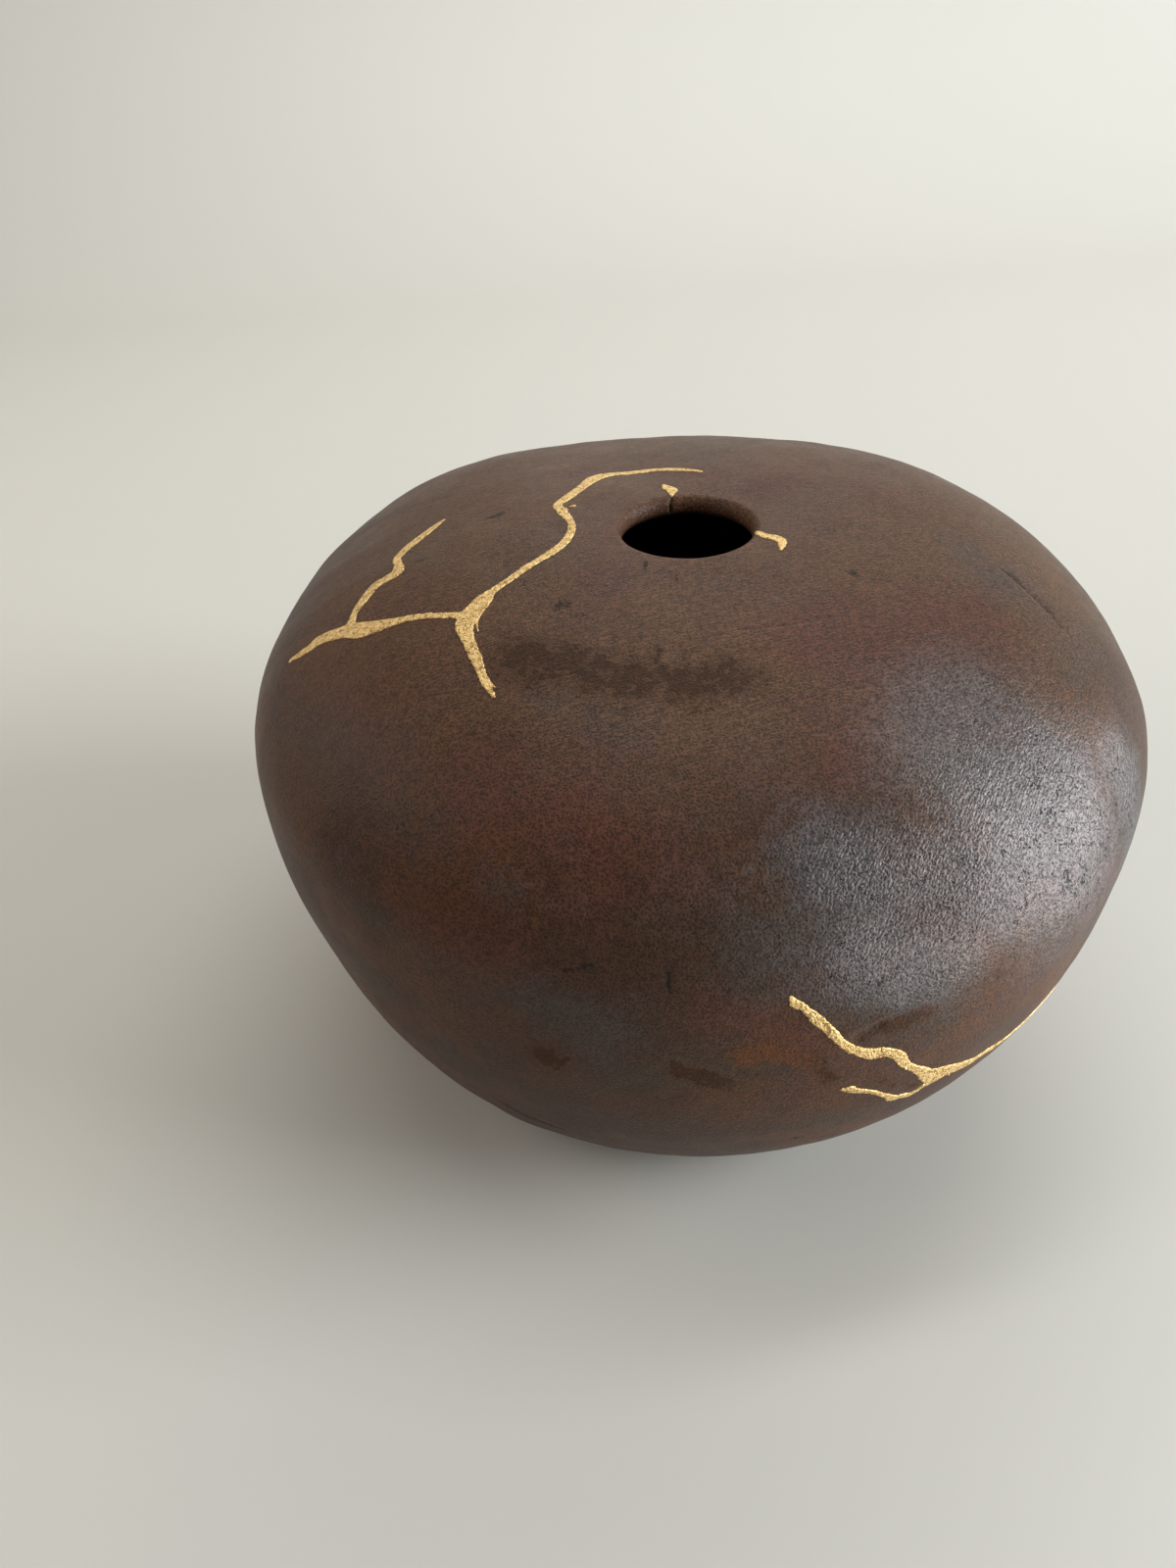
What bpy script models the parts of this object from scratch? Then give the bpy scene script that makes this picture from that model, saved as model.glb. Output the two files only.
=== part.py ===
# Raku vase with gold repair seams: one hollow, hand-built pot and the gold lines laid over its cracks.
# Metres, +Z up. The origin is the centre of the flat underside.
# Bearings are degrees round the vase, 0 at the front (-Y) and 90 at the right (+X).
# Latitudes are degrees up from the belly, as seen from the centre of the belly.

import math

import bmesh
import bpy
from mathutils import Vector

MM = 0.001

# Vessel
BELLY_RADIUS = 160 * MM
BELLY_HEIGHT = 132.5 * MM
HEIGHT = 202.5 * MM
FOOT_RADIUS = 99 * MM
MOUTH_RADIUS = 22.5 * MM
LIP_ROUND = 3 * MM
WALL = 8 * MM
FLOOR = 10 * MM
LEAN_RIGHT = 5.5 * MM
LEAN_BACK = 3 * MM

# Fullness of the section: 2 is an ellipse, more is squarer
SHOULDER_FULLNESS = 2.24
HIP_FULLNESS = 2.1

# Free form, as (waves round the vase, share of the belly radius, bearing of a crest)
PLAN_SWELLS = ((1, 0.053, 205), (2, 0.059, 35), (3, 0.024, 76), (4, 0.017, 32))
LIFT_SWELLS = ((1, 0.026, 164), (2, 0.036, 111))

# Marks of the hands, as (bearing, latitude, spread in degrees, share of the belly radius proud of the wall)
PALM_MARKS = (
    (64, 4, 8, 0.003),
    (72, 12, 12, 0.011),
    (78, 9, 7, -0.004),
    (86, 26, 14, -0.009),
    (122, 44, 14, -0.004),
    (195, 44, 12, -0.014),
    (214, 20, 10, 0.014),
    (221, 40, 14, 0.011),
    (256, 24, 14, -0.009),
    (277, 2, 14, 0.01),
    (290, -22, 14, -0.021),
    (293, -8, 8, 0.009),
)
MARK_FADE = 4

# Gold lines
GOLD_WIDTH = 5 * MM
GOLD_THICKNESS = 0.5 * MM
GOLD_GAP = 0.3 * MM
GOLD_STEP = 4.5 * MM

# Each line is a main arm and its branches, as (bearing, climb, share of GOLD_WIDTH). The climb is the
# percentage of the way from the belly up to the lip or, below zero, down to the foot. A branch starts
# at the station of the main arm given by its number, on the side given by its sign.
SHOULDER_ARM = (
    (280, 21, 0.3), (281, 26.5, 0.56), (284, 32, 0.92), (288, 36.5, 0.8), (292, 43.5, 0.44),
    (299.5, 51, 1), (297, 56, 0.84), (294, 63, 0.44), (287.5, 75, 0.44), (277, 84, 0.56),
    (259, 85, 0.6), (244.5, 80, 0.72), (230, 76.5, 0.72), (210, 71.5, 0.64), (196.5, 70, 0.56),
    (182, 73.5, 0.44), (168, 78.5, 0.24),
)
SHOULDER_BRANCHES = (
    (2, -1, ((276.5, 35, 0.48), (272, 40, 0.48), (267, 41.5, 0.56), (255.5, 44.5, 0.44),
             (248, 48, 0.24))),
    (5, 1, ((309, 46, 0.84), (315, 43, 0.64), (319, 40, 0.52))),
)
HIP_ARM = (
    (5.5, 5, 0.3), (7.5, 2, 0.64), (10, -4, 0.72), (13.5, -10.5, 0.8), (17, -12, 0.8),
    (19.5, -19, 0.88), (25, -29, 1), (29.5, -32, 0.8), (35.5, -35.5, 0.8), (41, -34, 0.72),
    (46, -32, 0.68), (52, -29.5, 0.6), (57, -27.5, 0.56), (63, -20, 0.48), (69, -13, 0.24),
)
HIP_BRANCHES = (
    (6, 1, ((20, -34, 0.6), (16, -26.5, 0.6), (13, -23.5, 0.3))),
    (11, 1, ((55, -36, 0.44), (59, -43, 0.24))),
)
MOUTH_ARM = ((63, 98, 0.36), (64, 96, 0.4), (61, 91.5, 0.8), (55.5, 90, 0.48))
PATCH_ARM = ((188.5, 88, 0.32), (185, 94, 0.88), (186, 98, 0.48))

# Resolution of the turned form
SEGMENTS = 72
OUTER_ROWS = 23
INNER_ROWS = 15
LIP_ROWS = 6

# Fired clay: colour, roughness and metallic value, and the same for gold leaf
CLAY_FINISH = ((0.085, 0.048, 0.036, 1), 0.42, 0)
GOLD_FINISH = ((0.73, 0.49, 0.18, 1), 0.32, 1)


def clear_scene():
    for item in list(bpy.data.objects):
        bpy.data.objects.remove(item)


def material(name, finish):
    colour, roughness, metallic = finish
    made = bpy.data.materials.new(name)
    made.use_nodes = True
    shader = made.node_tree.nodes["Principled BSDF"]
    shader.inputs["Base Color"].default_value = colour
    shader.inputs["Roughness"].default_value = roughness
    shader.inputs["Metallic"].default_value = metallic
    made.diffuse_color = colour
    return made


# The section of the undented pot is two quarter superellipses that meet at the belly

def hip_depth():
    # The lower curve would close below the table, and the table cuts it at the foot radius
    rest = 1 - (FOOT_RADIUS / BELLY_RADIUS) ** HIP_FULLNESS
    return BELLY_HEIGHT / rest ** (1 / HIP_FULLNESS)


def foot_latitude():
    return math.atan2(-BELLY_HEIGHT, FOOT_RADIUS)


def lip_latitude():
    # Where the shoulder meets the rounded lip
    reach = MOUTH_RADIUS + LIP_ROUND
    rest = 1 - (reach / BELLY_RADIUS) ** SHOULDER_FULLNESS
    rise = (HEIGHT - BELLY_HEIGHT) * rest ** (1 / SHOULDER_FULLNESS)
    return math.atan2(rise, reach)


def section(latitude):
    # Point and outward normal of the outer wall, as (distance from the axis, height)
    upper = latitude >= 0
    power = SHOULDER_FULLNESS if upper else HIP_FULLNESS
    depth = HEIGHT - BELLY_HEIGHT if upper else hip_depth()
    across = math.cos(latitude)
    along = abs(math.sin(latitude))
    reach = ((across / BELLY_RADIUS) ** power + (along / depth) ** power) ** (-1 / power)
    rho = reach * across
    rise = reach * along
    sign = 1 if upper else -1
    normal = Vector((rho ** (power - 1) / BELLY_RADIUS ** power,
                     sign * rise ** (power - 1) / depth ** power)).normalized()
    return Vector((rho, BELLY_HEIGHT + sign * rise)), normal


def spread(low, high, count):
    return [low + (high - low) * i / (count - 1) for i in range(count)]


def inner_wall():
    # From the floor up to the lip, WALL inside the outer wall, cut level at the floor
    points = []
    for latitude in spread(lip_latitude(), foot_latitude(), INNER_ROWS):
        point, normal = section(latitude)
        inset = point - normal * WALL
        if inset.y > FLOOR:
            points.append(inset)
            continue
        above = points[-1]
        share = (above.y - FLOOR) / (above.y - inset.y)
        points.append(above.lerp(inset, share))
        break
    return points[::-1]


def lip():
    # A half ellipse from the inner wall over the throat to the shoulder
    edge, normal = section(lip_latitude())
    outward = Vector((normal.y, -normal.x))
    middle = edge - normal * WALL / 2
    points = []
    for turn in spread(-math.pi / 2, math.pi / 2, LIP_ROWS + 1)[1:-1]:
        points.append(middle + normal * (WALL / 2 * math.sin(turn)) - outward * (LIP_ROUND * math.cos(turn)))
    return points


def profile():
    outer = [section(latitude)[0] for latitude in spread(lip_latitude(), foot_latitude(), OUTER_ROWS)]
    return [Vector((0, FLOOR))] + inner_wall() + lip() + outer + [Vector((0, 0))]


# The free form moves each point of the turned pot by its bearing and latitude, inside and outside alike

def swell(swells, bearing):
    return sum(share * math.cos(waves * (bearing - math.radians(crest))) for waves, share, crest in swells)


def palm(bearing, latitude):
    height = 0
    for mark_bearing, mark_latitude, mark_spread, mark_height in PALM_MARKS:
        turn = math.remainder(bearing - math.radians(mark_bearing), 2 * math.pi) * math.cos(latitude)
        climb = latitude - math.radians(mark_latitude)
        far = (turn * turn + climb * climb) / (2 * math.radians(mark_spread) ** 2)
        height += mark_height * BELLY_RADIUS * math.exp(-far)
    return height


def shaped(rho, bearing, height):
    latitude = math.atan2(height - BELLY_HEIGHT, rho)
    low = foot_latitude()
    share = (latitude - low) / (lip_latitude() - low)
    weight = math.sin(math.pi * min(max(share, 0), 1))
    mark = palm(bearing, latitude) * min(1, MARK_FADE * weight)
    rho_out = rho * (1 + weight * swell(PLAN_SWELLS, bearing)) + mark * math.cos(latitude)
    lift = weight * BELLY_RADIUS * swell(LIFT_SWELLS, bearing) + mark * math.sin(latitude)
    return Vector((rho_out * math.sin(bearing) + LEAN_RIGHT * height / HEIGHT,
                   -rho_out * math.cos(bearing) + LEAN_BACK * height / HEIGHT,
                   height + lift))


def vase_body(parts):
    mesh = bpy.data.meshes.new("vase_profile")
    points = profile()
    mesh.from_pydata([(p.x, 0, p.y) for p in points], [(i, i + 1) for i in range(len(points) - 1)], [])
    turned = bpy.data.objects.new("vase_turned", mesh)
    parts.objects.link(turned)
    screw = turned.modifiers.new("turn", "SCREW")
    screw.steps = SEGMENTS
    screw.render_steps = SEGMENTS
    screw.use_merge_vertices = True
    screw.merge_threshold = 0.0001
    body = bpy.data.meshes.new_from_object(turned.evaluated_get(bpy.context.evaluated_depsgraph_get()))
    bpy.data.objects.remove(turned)
    for vertex in body.vertices:
        x, y, z = vertex.co
        vertex.co = shaped(math.hypot(x, y), math.atan2(x, -y), z)
    body.name = "vase_body"
    body.shade_smooth()
    body.set_sharp_from_angle(angle=math.radians(28))
    body.materials.append(material("fired_clay", CLAY_FINISH))
    vase = bpy.data.objects.new("vase_body", body)
    parts.objects.link(vase)
    return vase


# Gold lines: flat ribbons that follow the wall

def wall_point(bearing, climb):
    limit = lip_latitude() if climb >= 0 else -foot_latitude()
    point = section(limit * climb / 100)[0]
    return shaped(point.x, math.radians(bearing), point.y)


def wall_normal(bearing, climb):
    step = 0.5
    east = wall_point(bearing + step, climb) - wall_point(bearing - step, climb)
    north = wall_point(bearing, climb + step) - wall_point(bearing, climb - step)
    return east.cross(north).normalized()


def stations(arm):
    # Steps of about GOLD_STEP between the arm's own points, which are kept, with their numbers
    steps = []
    marks = [0]
    for start, end in zip(arm, arm[1:]):
        reach = wall_point(*start[:2]) - wall_point(*end[:2])
        count = max(1, round(reach.length / GOLD_STEP))
        steps += [[a + (b - a) * i / count for a, b in zip(start, end)] for i in range(count)]
        marks.append(len(steps))
    return steps + [list(arm[-1])], marks


def ribbon(mesh, arm, root=None):
    # Pairs of left and right corners along the arm, each joined to the one before
    steps, marks = stations(arm)
    centres = [wall_point(bearing, climb) for bearing, climb, share in steps]
    pairs = []
    for i, (bearing, climb, share) in enumerate(steps):
        run = centres[min(i + 1, len(steps) - 1)] - centres[max(i - 1, 0)]
        side = wall_normal(bearing, climb).cross(run).normalized() * share * GOLD_WIDTH / 2
        corners = centres[i] + side, centres[i] - side
        pairs.append(root if root and i == 0 else [mesh.verts.new(corner) for corner in corners])
    for (left, right), (next_left, next_right) in zip(pairs, pairs[1:]):
        mesh.faces.new((left, right, next_right, next_left))
    return pairs, marks


def gold_line(name, parts, vase, gold, arm, branches=()):
    mesh = bmesh.new()
    pairs, marks = ribbon(mesh, arm)
    for station, side, route in branches:
        at = marks[station]
        # The side of the main arm that the branch grows from gives its root edge
        if side > 0:
            root = pairs[at + 1][1], pairs[at][1]
        else:
            root = pairs[at][0], pairs[at + 1][0]
        ribbon(mesh, (arm[station],) + route, root)
    sheet = bpy.data.meshes.new(name)
    mesh.to_mesh(sheet)
    mesh.free()
    sheet.materials.append(gold)
    line = bpy.data.objects.new(name, sheet)
    parts.objects.link(line)
    wrap = line.modifiers.new("lay", "SHRINKWRAP")
    wrap.target = vase
    wrap.wrap_method = "NEAREST_SURFACEPOINT"
    wrap.wrap_mode = "ABOVE_SURFACE"
    wrap.offset = GOLD_GAP
    solid = line.modifiers.new("thicken", "SOLIDIFY")
    solid.thickness = GOLD_THICKNESS
    solid.offset = 1
    return line


def main():
    clear_scene()
    parts = bpy.data.collections.new("raku_vase")
    bpy.context.scene.collection.children.link(parts)
    vase = vase_body(parts)
    gold = material("gold_leaf", GOLD_FINISH)
    gold_line("gold_seam_shoulder", parts, vase, gold, SHOULDER_ARM, SHOULDER_BRANCHES)
    gold_line("gold_seam_lower", parts, vase, gold, HIP_ARM, HIP_BRANCHES)
    gold_line("gold_seam_mouth", parts, vase, gold, MOUTH_ARM)
    gold_line("gold_patch_mouth", parts, vase, gold, PATCH_ARM)


main()
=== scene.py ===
# Raku vase: the fine form and burnished finish of the clay, and the gold repair lines laid over its cracks.
# Metres, +Z up. Bearings are degrees round the vase, 0 at the front (-Y) and 90 at the right (+X).
import math

import bmesh
import bpy
import numpy as np
from mathutils import Matrix, Vector, noise
from mathutils.bvhtree import BVHTree


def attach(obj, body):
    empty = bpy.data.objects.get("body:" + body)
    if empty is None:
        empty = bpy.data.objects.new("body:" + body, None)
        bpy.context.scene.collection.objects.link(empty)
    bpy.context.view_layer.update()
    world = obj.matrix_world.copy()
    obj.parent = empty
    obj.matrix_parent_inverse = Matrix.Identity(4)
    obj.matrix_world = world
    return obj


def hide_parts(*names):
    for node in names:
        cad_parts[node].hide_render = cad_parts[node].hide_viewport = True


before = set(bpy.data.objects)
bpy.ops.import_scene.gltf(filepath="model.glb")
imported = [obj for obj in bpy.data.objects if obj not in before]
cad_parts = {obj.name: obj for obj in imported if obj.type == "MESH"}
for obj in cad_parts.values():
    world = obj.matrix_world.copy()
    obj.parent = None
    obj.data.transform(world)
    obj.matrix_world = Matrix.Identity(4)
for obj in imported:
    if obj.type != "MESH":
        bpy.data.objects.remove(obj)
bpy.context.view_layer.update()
mm = 0.001

print("camera: the photograph's own view")
photoView = {
    "width": 1200,              # pixels
    "height": 1600,
    "focalLength": 1202,        # pixels
    "place": (-0.0335, -0.3655, 0.3809),
    "pitchDown": 38,            # degrees
    "roll": -3.5,
    "sensor": 36,               # millimetres along the photograph's longer side
    "reach": 0.5,               # about how far the vase is from the camera
}


def makeCamera(view):
    camera = bpy.data.objects.new("photoCamera", bpy.data.cameras.new("photoCamera"))
    bpy.context.scene.collection.objects.link(camera)
    camera.data.sensor_width = view["sensor"]
    camera.data.lens = view["sensor"] * view["focalLength"] / view["height"]
    camera.data.clip_start = 10 * mm
    tilt = Matrix.Rotation(math.radians(90 - view["pitchDown"]), 4, "X")
    roll = Matrix.Rotation(math.radians(view["roll"]), 4, "Z")
    camera.matrix_world = Matrix.Translation(view["place"]) @ tilt @ roll
    bpy.context.scene.camera = camera
    return camera


camera = makeCamera(photoView)

# The vase's form, as the frame has it: two quarter superellipses, swelled and pressed by hand
form = {
    "bellyRadius": 160 * mm,
    "bellyHeight": 132.5 * mm,
    "height": 202.5 * mm,
    "footRadius": 99 * mm,
    "throatRadius": 22.5 * mm,
    "lipRound": 3 * mm,
    "wall": 8 * mm,
    "floor": 10 * mm,
    "leanRight": 5.5 * mm,
    "leanBack": 3 * mm,
    "shoulderFullness": 2.24,
    "hipFullness": 2.1,
    # waves round the vase, share of the belly radius, bearing of a crest
    "planSwells": ((1, 0.053, 205), (2, 0.059, 35), (3, 0.024, 76), (4, 0.017, 32)),
    "liftSwells": ((1, 0.026, 164), (2, 0.036, 111)),
    # bearing, latitude, spread in degrees, share of the belly radius
    "palmMarks": (
        (64, 4, 8, 0.003),
        (72, 12, 12, 0.011),
        (78, 9, 7, -0.004),
        (86, 26, 14, -0.009),
        (122, 44, 14, -0.004),
        (195, 44, 12, -0.014),
        (214, 20, 10, 0.014),
        (221, 40, 14, 0.011),
        (256, 24, 14, -0.009),
        (277, 2, 14, 0.01),
        (290, -22, 14, -0.021),
        (293, -8, 8, 0.009),
    ),
    "markFade": 4,
    "segments": 400,
    "outerRows": 128,
    "lipRows": 18,
    "innerRows": 18,
}


def riseShare(reach, fullness):
    # How high a quarter superellipse stands at this distance from the axis, as a share of its depth
    return (1 - (reach / form["bellyRadius"]) ** fullness) ** (1 / fullness)


depthBelow = form["bellyHeight"] / riseShare(form["footRadius"], form["hipFullness"])
footLatitude = math.atan2(-form["bellyHeight"], form["footRadius"])
lipReach = form["throatRadius"] + form["lipRound"]
lipRise = (form["height"] - form["bellyHeight"]) * riseShare(lipReach, form["shoulderFullness"])
lipLatitude = math.atan2(lipRise, lipReach)


def wallSection(latitude):
    # Distance from the axis and height of the turned outer wall, and its outward normal in that plane
    upper = latitude >= 0
    power = np.where(upper, form["shoulderFullness"], form["hipFullness"])
    depth = np.where(upper, form["height"] - form["bellyHeight"], depthBelow)
    across, along = np.cos(latitude), np.abs(np.sin(latitude))
    reach = ((across / form["bellyRadius"]) ** power + (along / depth) ** power) ** (-1 / power)
    rho, rise = reach * across, reach * along
    sign = np.where(upper, 1, -1)
    out = rho ** (power - 1) / form["bellyRadius"] ** power
    up = sign * rise ** (power - 1) / depth ** power
    length = np.hypot(out, up)
    return rho, form["bellyHeight"] + sign * rise, out / length, up / length


def lipSection(turn):
    # The half ellipse of the lip, from the inner wall at -90 degrees over the throat to the shoulder at 90
    rho, height, out, up = wallSection(lipLatitude)
    across, rise = form["wall"] / 2 * (np.sin(turn) - 1), form["lipRound"] * np.cos(turn)
    return rho + out * across - up * rise, height + up * across + out * rise


def swell(swells, bearing):
    return sum(share * np.cos(waves * (bearing - math.radians(crest))) for waves, share, crest in swells)


def palm(bearing, latitude):
    total = 0 * latitude
    for markBearing, markLatitude, markSpread, share in form["palmMarks"]:
        turn = bearing - math.radians(markBearing)
        turn = (turn + math.pi) % (2 * math.pi) - math.pi
        far = (turn * np.cos(latitude)) ** 2 + (latitude - math.radians(markLatitude)) ** 2
        total = total + share * form["bellyRadius"] * np.exp(-far / (2 * math.radians(markSpread) ** 2))
    return total


def shaped(rho, bearing, height):
    # Where the free form puts each point of the turned pot
    latitude = np.arctan2(height - form["bellyHeight"], rho)
    share = (latitude - footLatitude) / (lipLatitude - footLatitude)
    weight = np.sin(math.pi * np.clip(share, 0, 1))
    mark = palm(bearing, latitude) * np.minimum(1, form["markFade"] * weight)
    out = rho * (1 + weight * swell(form["planSwells"], bearing)) + mark * np.cos(latitude)
    lift = weight * form["bellyRadius"] * swell(form["liftSwells"], bearing) + mark * np.sin(latitude)
    grown = height / form["height"]
    return np.stack([out * np.sin(bearing) + form["leanRight"] * grown,
                     -out * np.cos(bearing) + form["leanBack"] * grown,
                     height + lift], -1)


def onWall(bearing, latitude):
    # A point of the outer wall, which past the lip's latitude rolls over the lip and down into the throat
    rho, height = wallSection(np.minimum(latitude, lipLatitude))[:2]
    over = np.maximum(latitude - lipLatitude, 0) * math.hypot(lipReach, lipRise) / form["lipRound"]
    lipRho, lipHeight = lipSection(math.pi / 2 - np.minimum(over, math.pi))
    return shaped(np.where(over > 0, lipRho, rho), bearing, np.where(over > 0, lipHeight, height))


def wallNormals(bearing, latitude, step=0.002):
    east = onWall(bearing + step, latitude) - onWall(bearing - step, latitude)
    north = onWall(bearing, latitude + step) - onWall(bearing, latitude - step)
    across = np.cross(east, north)
    return across / np.linalg.norm(across, axis=-1, keepdims=True)


def wallBearings(points, steps=8):
    # Bearing and latitude of points on the wall, found by stepping towards them
    def aim(places):
        x, y, z = (places - (0, 0, form["bellyHeight"])).T
        return np.arctan2(x, -y), np.arctan2(z, np.hypot(x, y))

    wanted = aim(points)
    bearing, latitude = wanted
    for step in range(steps):
        found = aim(onWall(bearing, latitude))
        bearing = bearing + (wanted[0] - found[0] + math.pi) % (2 * math.pi) - math.pi
        latitude = latitude + wanted[1] - found[1]
    return bearing, latitude


def vaseProfile():
    # From the middle of the inside floor up, over the lip, down the outside and to the middle of the foot
    rho, height, out, up = wallSection(np.linspace(lipLatitude, footLatitude, form["innerRows"]))
    inside = np.stack([rho - out * form["wall"], height - up * form["wall"]], -1)
    kept = inside[inside[:, 1] > form["floor"]]
    below = inside[len(kept)]
    share = (kept[-1][1] - form["floor"]) / (kept[-1][1] - below[1])
    corner = kept[-1] + (below - kept[-1]) * share
    inner = np.vstack([kept, corner])[::-1]
    lip = np.stack(lipSection(np.linspace(-math.pi / 2, math.pi / 2, form["lipRows"] + 1)[1:-1]), -1)
    outer = np.stack(wallSection(np.linspace(lipLatitude, footLatitude, form["outerRows"]))[:2], -1)
    floorRing = np.array([[0, form["floor"]], [corner[0] / 2, form["floor"]]])
    footRing = np.array([[form["footRadius"] / 2, 0], [0, 0]])
    return np.vstack([floorRing, inner, lip, outer, footRing])


def turnedVase():
    profile = vaseProfile()
    mesh = bpy.data.meshes.new("vaseProfile")
    links = [(i, i + 1) for i in range(len(profile) - 1)]
    mesh.from_pydata([(x, 0, z) for x, z in profile.tolist()], links, [])
    turned = bpy.data.objects.new("vaseTurned", mesh)
    bpy.context.scene.collection.objects.link(turned)
    screw = turned.modifiers.new("turn", "SCREW")
    screw.steps = form["segments"]
    screw.render_steps = form["segments"]
    screw.use_merge_vertices = True
    screw.merge_threshold = 0.01 * mm
    whole = bpy.data.meshes.new_from_object(turned.evaluated_get(bpy.context.evaluated_depsgraph_get()))
    bpy.data.objects.remove(turned)
    return whole


def meshPoints(mesh, kind="co"):
    numbers = np.empty(len(mesh.vertices) * 3)
    mesh.vertices.foreach_get(kind, numbers)
    return numbers.reshape(-1, 3)


def shapedPoints(turned):
    x, y, z = turned.T
    return shaped(np.hypot(x, y), np.arctan2(x, -y), z)


print("vase: turned form")
vaseMesh = turnedVase()
plainWall = shapedPoints(meshPoints(vaseMesh))
wallFaces = [tuple(face.vertices) for face in vaseMesh.polygons]
wallTree = BVHTree.FromPolygons([Vector(place) for place in plainWall], wallFaces)


def seen(u, v):
    # The point of the wall that the photograph shows at this pixel, or the nearest one where it shows none
    view = photoView
    across, up = u - view["width"] / 2, view["height"] / 2 - v
    ray = Vector((across / view["focalLength"], up / view["focalLength"], -1))
    start, aim = camera.matrix_world.translation, camera.matrix_world.to_3x3() @ ray.normalized()
    hit = wallTree.ray_cast(start, aim)[0]
    if hit is None:
        hit = wallTree.find_nearest(start + aim * view["reach"])[0]
    return np.array(hit)


def hidden(bearing, climb):
    # A point of the wall by its bearing and its climb: the percentage of the way from the belly to the lip,
    # or with a minus of the way down to the foot
    limit = lipLatitude if climb >= 0 else -footLatitude
    return onWall(np.array(math.radians(bearing)), np.array(limit * climb / 100))


def smoothPath(stations, spacing=0.8 * mm):
    # A curve through the stations. Their first three numbers are a place, and others, such as a width, go
    # along with it.
    stations = np.array(stations, float)
    if len(stations) < 3:
        return stations
    ends = np.vstack([2 * stations[0] - stations[1], stations, 2 * stations[-1] - stations[-2]])
    path = []
    for before, start, end, after in zip(ends, ends[1:], ends[2:], ends[3:]):
        count = max(1, round(np.linalg.norm(end[:3] - start[:3]) / spacing))
        for t in np.arange(count)[:, None] / count:
            bend = (before * (-t + 2 * t ** 2 - t ** 3) + start * (2 - 5 * t ** 2 + 3 * t ** 3)
                    + end * (t + 4 * t ** 2 - 3 * t ** 3) + after * (t ** 3 - t ** 2)) / 2
            path.append(bend)
    path.append(stations[-1])
    return np.array(path)


def fromPath(points, path):
    # Distance from each point to the path, the path's width at the nearest place, and how far along that
    # place is (0 to 1)
    best = np.full(len(points), np.inf)
    share = np.zeros(len(points))
    width = np.zeros(len(points))
    hasWidth = path.shape[1] > 3
    if len(path) == 1:
        return np.linalg.norm(points - path[0, :3], axis=1), width + (path[0, 3] if hasWidth else 0), share
    lengths = np.linalg.norm(np.diff(path[:, :3], axis=0), axis=1)
    travelled = np.concatenate([[0], np.cumsum(lengths)])
    for i, (start, end) in enumerate(zip(path, path[1:])):
        run = end[:3] - start[:3]
        t = np.clip((points - start[:3]) @ run / max(run @ run, 1e-12), 0, 1)
        far = np.linalg.norm(points - start[:3] - t[:, None] * run, axis=1)
        closer = far < best
        best[closer] = far[closer]
        share[closer] = (travelled[i] + t[closer] * lengths[i]) / travelled[-1]
        if hasWidth:
            width[closer] = start[3] + t[closer] * (end[3] - start[3])
    return best, width, share


def drift(points, size, shift=0):
    # Soft noise, about -1 to 1, with features of about this size
    return np.array([noise.noise(p) for p in (points / size + shift).tolist()])


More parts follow.
